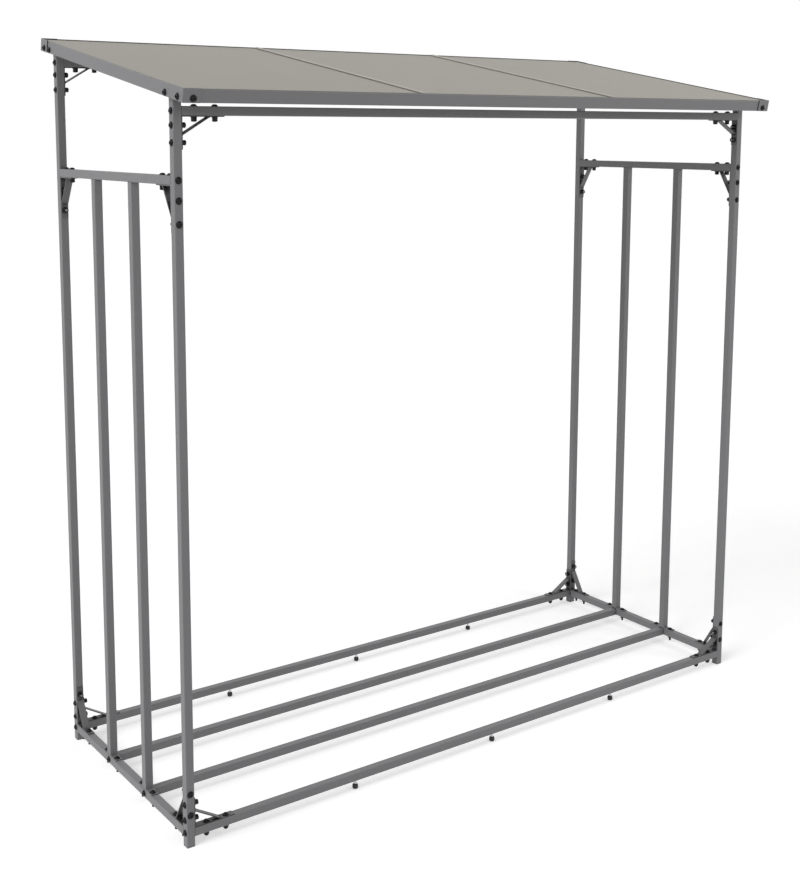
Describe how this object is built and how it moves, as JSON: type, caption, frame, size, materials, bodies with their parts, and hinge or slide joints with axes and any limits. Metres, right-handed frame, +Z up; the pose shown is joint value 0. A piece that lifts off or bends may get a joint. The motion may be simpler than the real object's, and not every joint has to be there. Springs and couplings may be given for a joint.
{
  "type": "log store",
  "caption": "Open rack of square steel tube with a sloping sheet roof, barred sides and an open front and back, for stacking split logs outdoors.",
  "frame": {"origin": "on the floor under the middle of the roof, the middle of the store's plan", "axes": "+X to the right along the open front, +Y from the low open front to the high back, +Z up"},
  "size_m": [1.654, 0.7044, 1.652],
  "materials": {
    "frame_paint": "anthracite powder coat, satin with a fine grain",
    "roof_sheet": "grey coated steel sheet, satin",
    "bracket_steel": "anthracite powder coat on bent strip, satin, its cut edges darker",
    "screw_steel": "black coated screws and nuts, glossy",
    "grey_plastic": "moulded, matt",
    "black_plastic": "moulded, matt",
    "zinc_steel": "bright zinc plate"
  },
  "bodies": {
    "root": {"back_lower_rail": "frame_paint", "back_top_beam": "frame_paint", "brackets_back_left": "bracket_steel", "brackets_back_right": "bracket_steel", "brackets_front_left": "bracket_steel", "brackets_front_right": "bracket_steel", "floor_beam_1": "frame_paint", "floor_beam_2": "frame_paint", "foot_pads": "black_plastic", "foot_studs": "zinc_steel", "front_lower_rail": "frame_paint", "front_top_beam": "frame_paint", "left_bar_1": "frame_paint", "left_bar_2": "frame_paint", "left_lower_rail": "frame_paint", "left_mid_rail": "frame_paint", "post_back_left": "frame_paint", "post_back_right": "frame_paint", "post_cap_back_left": "grey_plastic", "post_cap_back_right": "grey_plastic", "post_cap_front_left": "grey_plastic", "post_cap_front_right": "grey_plastic", "post_front_left": "frame_paint", "post_front_right": "frame_paint", "right_bar_1": "frame_paint", "right_bar_2": "frame_paint", "right_lower_rail": "frame_paint", "right_mid_rail": "frame_paint", "roof_back_rail": "frame_paint", "roof_corner_plate_back_left": "frame_paint", "roof_corner_plate_back_right": "frame_paint", "roof_corner_plate_front_left": "frame_paint", "roof_corner_plate_front_right": "frame_paint", "roof_front_rail": "frame_paint", "roof_left_rail": "frame_paint", "roof_panel_1": "roof_sheet", "roof_panel_2": "roof_sheet", "roof_panel_3": "roof_sheet", "roof_right_rail": "frame_paint"}
  },
  "joints": []
}
